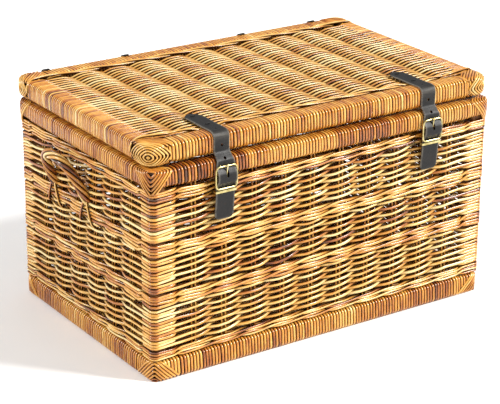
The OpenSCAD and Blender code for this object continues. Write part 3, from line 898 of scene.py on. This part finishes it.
def lid_rows():
    """Rows of the lid panel, each one going on round both short bars."""
    f = FRAMES["lid"]
    low, high = span("lid_weave")
    rib_z = middle("lid_ribs")[2]
    amplitude = RIB_D / 2 + LID_ROW + 0.4 * MM
    strands = Strands(6)
    inner = f.half[0] - f.bar
    end_level = (f.high[2] - WRAP[1] - 1 * MM - rib_z) / amplitude
    turn = bar_turn(f, inner)
    x = np.arange(-inner, inner, 6 * MM)
    on_bar = np.concatenate([np.ones(len(turn)), np.zeros(len(x)), np.ones(len(turn))])
    for k, y in enumerate(row_places(low[1], high[1], LID_ROW_PITCH)):
        knots, values = rib_knots(inner + 4 * MM, end_level, 1 if k % 2 else -1)
        z = rib_z + amplitude * eased(x, knots, values)
        drift = soft_noise(0.8, 0.25 * MM, 0.09)
        panel = np.column_stack([x, y + drift(x), z])
        bar = np.column_stack([turn[:, 0], np.full(len(turn), y), turn[:, 1]])
        mirrored = (bar * (-1, 1, 1))[::-1]
        path = np.concatenate([mirrored, panel, bar])
        outward = np.tile(UP, (len(path), 1))
        core = np.array([inner + f.bar / 2, y, f.middle[2]])
        outward[-len(bar):] = unit(bar - core)
        outward[:len(bar)] = unit(mirrored - core * (-1, 1, 1))
        level = np.concatenate([np.ones(len(bar)), (z - rib_z) / amplitude, np.ones(len(bar))])
        tone = random.normal(0.76, 0.14) + soft_noise(1.0, 0.05, 0.1)(path[:, 0]) - 0.27 * on_bar
        wide = LID_ROW * random.uniform(0.92, 1.04) * (1 - on_bar) + LID_ROW_ON_BAR * on_bar
        strands.add(path, outward, (wide, LID_ROW), tone, *both_faces(level))
    settle(strands, "lid_panel_rows", "lid", "willow", "lid_weave", "lid_wrap_left", "lid_wrap_right")


def floor_rows():
    """Rows of the woven floor, over and under its ribs."""
    low, high = span("floor_weave")
    rib_z = middle("floor_ribs")[2]
    amplitude = RIB_D / 2 + FLOOR_ROW[1]
    strands = Strands(6)
    cut = CORNER - FRAMES["base"].bar
    for k, y in enumerate(row_places(low[1], high[1], FLOOR_ROW_PITCH)):
        end = high[0] - max(0.0, cut - min(y - low[1], high[1] - y))
        knots, values = rib_knots(high[0] + 8 * MM, 0.0, 1 if k % 2 else -1)
        x = np.arange(-end, end, 7 * MM)
        z = rib_z + amplitude * eased(x, knots, values)
        path = np.column_stack([x, np.full(len(x), y), z])
        tone = random.normal(0.55, 0.1) + soft_noise(1.0, 0.04, 0.1)(x)
        strands.add(path, UP, FLOOR_ROW, tone, 0.8, 0.6)
    settle(strands, "floor_rows", "trunk", "willow", "floor_weave")


def panel_ribs(node, body):
    """The ribs that a panel is woven on."""
    low, high = span(node)
    z = middle(node)[2]
    strands = Strands()
    for x in in_pairs(side_places(PANEL_RIBS), RIB_GAP):
        y = np.arange(low[1], high[1] + 5 * MM, 10 * MM)
        sway = soft_noise(0.5, 0.2 * MM, 0.1)
        path = np.column_stack([x + sway(y), y, np.full(len(y), z)])
        strands.add(path, UP, (RIB_D / 2, RIB_D / 2), random.normal(0.55, 0.1), 0.85, 0.65)
    settle(strands, node + "_rods", body, "willow", node)


def edging():
    """Two long twined strands beside each long bar of the lid. At each corner one goes on as a
    roll over the short bar and down to the side of the lens."""
    f = FRAMES["lid"]
    low, high = span("lid_edging")
    strands = Strands()
    twist = 1.7 * MM
    thick = 2.8 * MM
    level = f.high[2] - 1.0 * MM
    reach = high[0] - 22 * MM
    x = np.arange(-reach, reach + 2 * MM, 4 * MM)
    strap_x = middle("strap_top_right")[0]
    under = smooth_step((34 * MM - np.abs(np.abs(x) - strap_x)) / (14 * MM))
    for side in (-1, 1):
        dip = 3.2 * MM * under if side < 0 else 0.0
        edge_y = middle("lid_edging")[1] + side * ((high[1] - low[1]) / 2 - 4.2 * MM)
        start = random.uniform(0, 2 * math.pi)
        for strand in (0, 1):
            angle = start + 2 * math.pi * (x / (150 * MM) + 0.5 * strand)
            z = level + twist * (np.sin(angle) - 0.4) - dip
            path = np.column_stack([x, edge_y + 1.5 * twist * np.cos(angle), z])
            end_points = tuck_points if strand else roll_points
            ends = [end_points(Corner(f, end, side)) for end in (-1, 1)]
            line = np.concatenate([ends[0], path, ends[1][::-1]])
            line = smooth_path(line, 4 * MM, 4 * MM)
            tone = random.normal(0.66, 0.04) + soft_noise(1.0, 0.05, 0.1)(line[:, 0])
            strands.add(line, UP, (thick, 2.4 * MM), tone)
    settle(strands, "lid_edging_strands", "lid", "willow", "lid_edging")


def roll_points(corner):
    """The end of an edging strand: beside the lens, over the edge and across the short bar."""
    f = corner.frame
    v = np.array([-3, 4, 8]) * MM
    rise = corner.face(-44.5 * MM, v, -0.4 * MM)
    px = np.array([9, 20, 35, 52, 66]) * MM
    py = np.array([47.5, 46.5, 44.5, 42, 41]) * MM
    over = corner.place(px, py, f.high[2] + np.array([0.9, 1.8, 1.8, 1.2, 0.2]) * MM)
    return np.concatenate([rise, over])


def tuck_points(corner):
    """The end of the other strand, which goes down between the lid's frame and its panel."""
    f = corner.frame
    px = np.array([44, 56, 68]) * MM
    py = np.array([40, 41, 42]) * MM
    return corner.place(px, py, f.high[2] + np.array([-6, -3.4, -2]) * MM)


lid_rows()
floor_rows()
panel_ribs("lid_ribs", "lid")
panel_ribs("floor_ribs", "trunk")
edging()


# ---- Handles ----

HANDLE_SPAN = 113 * MM
HANDLE_RISE = 75 * MM
HANDLE_D = 18.5 * MM
HANDLE_LEAN = math.radians(24)
HANDLE_Y = 45 * MM
HANDLE_FOOT_Z = span("upper_weave")[0][2] + 12 * MM
HANDLE_STRANDS = 6
HANDLE_TURNS = 1.9


def handle_line(side, lean):
    """The middle line of a handle, a squarish bow with its feet in the wall."""
    foot = np.array([side * wall_high[0], HANDLE_Y, HANDLE_FOOT_Z])
    t = np.linspace(0, math.pi, 91)
    power = 2 / 2.5
    bow_y = HANDLE_SPAN / 2 * np.sign(np.cos(t)) * np.abs(np.cos(t)) ** power
    bow_z = HANDLE_RISE * np.sin(t) ** power
    line = foot + np.outer(bow_y, ALONG_Y) + np.outer(bow_z, lean)
    down = -lean * 9 * MM - np.array([side * 4 * MM, 0, 0])
    line = np.concatenate([[line[0] + down], line, [line[-1] + down]])
    return smooth_path(line, 3 * MM, 3 * MM)


def handle_tail(strands, side, end, way, tone):
    """A strand that runs down from a foot of the handle and into the wall."""
    u = np.linspace(0, 1, 16)
    y = HANDLE_Y + end * HANDLE_SPAN / 2 + way * (2 + 20 * u) * MM
    z = HANDLE_FOOT_Z + (6 - 52 * u) * MM
    bulge = 3.5 * MM * np.sin(math.pi * np.clip(u * 1.02, 0, 1)) ** 0.5
    dive = 3 * MM * smooth_step((u - 0.88) / 0.12)
    path = np.column_stack([side * (wall_high[0] + (bulge - dive)), y, z])
    strands.add(path, (side, 0, 0), (2.3 * MM, 2.1 * MM), tone)


def handle(side):
    """A twisted rope of willow bowed between two feet, and the ends that run down from each foot."""
    name = "left" if side < 0 else "right"
    lean = np.array([side * math.sin(HANDLE_LEAN), 0, math.cos(HANDLE_LEAN)])
    line = handle_line(side, lean)
    ahead = unit(np.gradient(line, axis=0))
    flat = unit(np.cross(lean, ALONG_Y))
    up = unit(np.cross(ahead, flat))
    strand_r = HANDLE_D / 2 * 0.36
    lay = HANDLE_D / 2 - strand_r
    strands = Strands()
    turns = HANDLE_TURNS * np.linspace(0, 1, len(line))
    for k in range(HANDLE_STRANDS):
        angle = 2 * math.pi * (turns + k / HANDLE_STRANDS)
        radial = np.cos(angle)[:, None] * up + np.sin(angle)[:, None] * flat
        tone = random.normal(0.5, 0.14)
        strands.add(line + lay * radial, radial, (strand_r, strand_r), tone)
    strands.add(line, flat, (strand_r, strand_r), 0.4, 0.5)
    for end in (-1, 1):
        for way, tone in ((-1, 0.7), (1, 0.3)):
            handle_tail(strands, side, end, way, tone)
    settle(strands, f"handle_{name}_rope", "trunk", "willow", "handle_" + name)


handle(-1)
handle(1)


# ---- Straps ----

STRAP_T = 2.3 * MM
STRAP_BEVEL = 0.55 * MM
STRAP_TIP = 8 * MM
STRAP_CROOK = 4 * MM
STRAP_RISE = 6 * MM
STRAP_LEAN = 4.5 * MM
STRAP_TAPER = 0.15
CHAPE_T = 1.8 * MM
SLACK = 0.3 * MM
HOLE_R = 2.5 * MM
HOLE_Z = (FRAMES["rim"].high[2] - 1 * MM, FRAMES["lid"].low[2] + 15 * MM)
TOP_HOLE_Y = FRAMES["lid"].low[1] + 17 * MM
SLOT_W = 4.4 * MM


def strap_line(name):
    """The centre line (y, z) of one strap, from its round end on the lid down to its tip."""
    lid, rim = FRAMES["lid"], FRAMES["rim"]
    half = STRAP_T / 2
    low = span("strap_hanging_" + name)[0]
    buckle_low, buckle_high = span("buckle_frame_" + name)
    wire = buckle_high[1] - buckle_low[1]
    buckle_z = (buckle_low[2] + buckle_high[2]) / 2
    angle = np.linspace(0, math.pi / 2, 7)
    bend = lid.edge + half
    arc = np.column_stack([lid.low[1] + lid.edge - bend * np.sin(angle),
                           lid.high[2] - lid.edge + bend * np.cos(angle)])
    hinge_y = lid.low[1] - half
    back_y = rim.low[1] - CHAPE_T - SLACK - half
    over_y = low[1] + half
    hanging = [
        (hinge_y, lid.low[2] + STRAP_CROOK),
        (back_y, rim.high[2] - STRAP_CROOK),
        (back_y, buckle_high[2] - wire / 2 - STRAP_CROOK + 1 * MM),
        (over_y, buckle_z + STRAP_RISE),
        (over_y, buckle_z - STRAP_RISE),
        (back_y, buckle_low[2] + wire / 2 + STRAP_CROOK - 1 * MM),
        (back_y + STRAP_LEAN, low[2]),
    ]
    rear = [(span("strap_top_" + name)[1][1], lid.high[2] + half)]
    points = np.concatenate([rear, arc, hanging])
    line = smooth_path(np.column_stack([np.zeros(len(points)), points]), 1.5 * MM, 1.8 * MM)[:, 1:]
    return line, buckle_z, buckle_high[2] - wire


def ring(w, s, radius, count=16):
    """A round hole in the flat strap."""
    t = np.linspace(0, 2 * math.pi, count, endpoint=False)
    return np.column_stack([w + radius * np.cos(t), s + radius * np.sin(t)])


def capsule(s0, s1, half_w, r0, r1, steps=8):
    """A flat strip from s0 to s1 whose corners are rounded to r0 at its start and r1 at its end."""
    points = []
    rounds = ((1, s1 - r1, r1), (-1, s1 - r1, r1), (-1, s0 + r0, r0), (1, s0 + r0, r0))
    for turn, (w, s, r) in enumerate(rounds):
        t = np.linspace(0, math.pi / 2, steps) + turn * math.pi / 2
        points.append(np.column_stack([w * (half_w - r) + r * np.cos(t), s + r * np.sin(t)]))
    return np.concatenate(points)


def flat_strip(loops, thickness, bevel):
    """A flat leather blank with holes and rounded edges, as a bmesh in (w, s, height)."""
    curve = bpy.data.curves.new("blank", "CURVE")
    curve.dimensions, curve.fill_mode = "2D", "BOTH"
    curve.extrude, curve.bevel_depth, curve.bevel_resolution = thickness / 2 - bevel, bevel, 2
    for loop in loops:
        spline = curve.splines.new("POLY")
        spline.points.add(len(loop) - 1)
        spline.use_cyclic_u = True
        for point, (w, s) in zip(spline.points, loop):
            point.co = (w, s, 0, 1)
    obj = add_object("blank", curve)
    mesh = bpy.data.meshes.new_from_object(obj.evaluated_get(bpy.context.evaluated_depsgraph_get()))
    blank = bmesh.new()
    blank.from_mesh(mesh)
    bmesh.ops.remove_doubles(blank, verts=blank.verts, dist=1e-6)
    bpy.data.objects.remove(obj)
    bpy.data.curves.remove(curve)
    bpy.data.meshes.remove(mesh)
    return blank


def cut_across(blank, place, direction):
    """Cuts the blank's faces along a plane, so that it can bend there."""
    parts = blank.verts[:] + blank.edges[:] + blank.faces[:]
    bmesh.ops.bisect_plane(blank, geom=parts, plane_co=place, plane_no=direction)


def strap_blank(length, half_w, holes, slot_s):
    """The flat strap with its round holes and its slot, cut into short lengths."""
    inner = half_w - STRAP_BEVEL
    loops = [capsule(STRAP_BEVEL, length - STRAP_BEVEL, inner, inner, STRAP_TIP)]
    loops += [ring(0, s, radius) for s, radius in holes]
    slot_half = SLOT_W / 2 + STRAP_BEVEL
    loops.append(capsule(slot_s[0], slot_s[1], slot_half, slot_half, slot_half, 5))
    blank = flat_strip(loops, STRAP_T, STRAP_BEVEL)
    for s in np.arange(2 * MM, length, 2 * MM):
        cut_across(blank, (0, s, 0), (0, 1, 0))
    for w in (-0.8, -0.4, 0, 0.4, 0.8):
        cut_across(blank, (w * half_w, 0, 0), (1, 0, 0))
    return blank


def strap(name):
    """One leather strap, bent over the lid's front edge and through its buckle."""
    line, slot_low, slot_high = strap_line(name)
    s = distances(line)
    lid = FRAMES["lid"]
    low, high = span("strap_hanging_" + name)
    centre_x, half_w = (low[0] + high[0]) / 2, (high[0] - low[0]) / 2
    drop = line[:, 0] < lid.low[1]

    def s_at(z):
        return float(np.interp(-z, -line[drop, 1], s[drop]))

    hole = HOLE_R + STRAP_BEVEL
    top_hole_s = float(np.interp(-TOP_HOLE_Y, -line[:, 0], s))
    holes = [(s_at(z), hole) for z in HOLE_Z] + [(top_hole_s, 0.7 * hole)]
    blank = strap_blank(s[-1], half_w, holes, (s_at(slot_high - 4 * MM), s_at(slot_low)))
    mesh = bpy.data.meshes.new("strap_" + name)
    blank.to_mesh(mesh)
    blank.free()
    flat = np.zeros(len(mesh.vertices) * 3)
    mesh.vertices.foreach_get("co", flat)
    across, along, height = flat.reshape(-1, 3).T

    ahead = unit(np.gradient(line, axis=0))
    out = np.column_stack([ahead[:, 1], -ahead[:, 0]])
    cup = 0.35 * MM * (across / half_w) ** 2 * soft_noise(0.4, 1.0, 0.05)(along)
    yz = at_distance(along, s, line) + at_distance(along, s, out) * (height + cup)[:, None]
    lid_s = s_at(lid.low[2])
    narrow = STRAP_TAPER * (1 - smooth_step((along - lid_s) / (s_at(slot_high) - lid_s)))
    bent = np.column_stack([centre_x + (1 - narrow) * across, yz])
    mesh.vertices.foreach_set("co", bent.astype(np.float32).ravel())

    to_end = np.minimum(along, s[-1] - along)
    worn = np.exp(-np.minimum(half_w - np.abs(across), to_end) / (0.9 * MM))
    bend_s = float(np.interp(-lid.low[1], -line[:, 0], s))
    worn = np.maximum(worn, 0.3 * np.exp(-np.abs(along - bend_s) / (5 * MM)))
    add_attribute(mesh, "worn", worn)
    mesh.flip_normals()
    mesh.shade_smooth()
    mesh.set_sharp_from_angle(angle=math.radians(50))
    obj = add_object("strap_" + name, mesh)
    obj.data.materials.append(LEATHER)
    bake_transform(obj)
    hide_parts("strap_top_" + name, "strap_hanging_" + name)


def stitch_loops():
    """Short thongs that tie the straps down to the lid."""
    low, high = span("strap_stitches")
    lid = FRAMES["lid"]
    strands = Strands()
    for name in ("left", "right"):
        x = middle("strap_top_" + name)[0]
        for y in (low[1] + 1 * MM, high[1] - 1 * MM):
            t = np.linspace(-1, 1, 15)
            rise = np.sqrt(np.clip(1 - t ** 4, 0, 1))
            top = lid.high[2] + STRAP_T
            z = np.where(np.abs(t) < 0.98, top - 0.5 * MM + 1.6 * MM * rise, top - 5 * MM)
            path = np.column_stack([x + 4.5 * MM * t, np.full(15, y), z])
            strands.add(path, UP, (1.0 * MM, 0.9 * MM), 0.2)
    settle(strands, "strap_thongs", "lid", "leather", "strap_stitches")


strap("left")
strap("right")
stitch_loops()


# ---- CAD nodes that stay, with their materials ----

def dress(nodes, material, bevel=0.0):
    """Puts a procedural material on CAD nodes whose shape is right."""
    for node in nodes:
        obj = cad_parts[node]
        obj.data.materials.clear()
        obj.data.materials.append(material)
        if bevel:
            modifier = obj.modifiers.new("soft_edges", "BEVEL")
            modifier.width, modifier.segments, modifier.angle_limit = bevel, 2, math.radians(40)


dress(["base_core", "rim_core", "lid_core"], WOOD)
dress(["post_front_left", "post_front_right", "post_back_left", "post_back_right"], POST_WOOD)
dress(["hinge_pins", "buckle_frame_left", "buckle_frame_right", "prong_left", "prong_right"], BRASS)
dress(["keeper_left", "keeper_right"], BRASS, 0.4 * MM)
dress(["chape_rivets"], BRASS)
dress(["rim_hinge_loops", "lid_hinge_loops", "chape_left", "chape_right"], LEATHER)


# ---- Stage ----

floor_mesh = bpy.data.meshes.new("floor")
floor_mesh.from_pydata([(-40, -40, 0), (40, -40, 0), (40, 40, 0), (-40, 40, 0)], [], [(0, 1, 2, 3)])
floor = add_object("floor", floor_mesh)
floor_material = Material("pale_floor")
floor_material.set("Base Color", (0.9, 0.9, 0.9, 1))
floor_material.set("Roughness", 0.9)
floor.data.materials.append(floor_material.material)
floor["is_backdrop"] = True

world = bpy.data.worlds.new("studio")
world.use_nodes = True
background = world.node_tree.nodes["Background"]
background.inputs["Color"].default_value = (1, 1, 1, 1)
background.inputs["Strength"].default_value = 0.5
bpy.context.scene.world = world


def direction(azimuth, elevation):
    """The direction from the trunk to something at these degrees, 0 being straight in front."""
    a, e = math.radians(azimuth), math.radians(elevation)
    return Vector((math.sin(a) * math.cos(e), -math.cos(a) * math.cos(e), math.sin(e)))


def soft_light(name, azimuth, elevation, strength, width, colour=(1, 1, 1)):
    """A distant soft light, width degrees across."""
    light = bpy.data.lights.new(name, "SUN")
    light.angle = math.radians(width)
    light.energy = strength
    light.color = colour
    obj = add_object(name, light)
    obj.rotation_mode = "QUATERNION"
    obj.rotation_quaternion = direction(azimuth, elevation).to_track_quat("Z", "Y")


soft_light("key", 46, 37, 5.2, 12, (1.0, 0.98, 0.95))
soft_light("side", -120, 33, 2.4, 16)

CAMERA_AZIMUTH = -34.21
CAMERA_ELEVATION = 21.64
CAMERA_ROLL = 0.0099
CAMERA_DISTANCE = 3.379
CAMERA_TARGET = Vector((-0.0092, -0.0016, 0.1779))
camera_data = bpy.data.cameras.new("camera")
camera_data.lens = 133.5
camera_data.sensor_width = 36
camera = add_object("camera", camera_data)
back = direction(CAMERA_AZIMUTH, CAMERA_ELEVATION)
camera.location = CAMERA_TARGET + back * CAMERA_DISTANCE
camera.rotation_mode = "QUATERNION"
camera.rotation_quaternion = back.to_track_quat("Z", "Y") @ Quaternion((0, 0, 1), CAMERA_ROLL)
bpy.context.scene.camera = camera
bpy.context.scene.view_settings.view_transform = "Standard"

low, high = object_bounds()
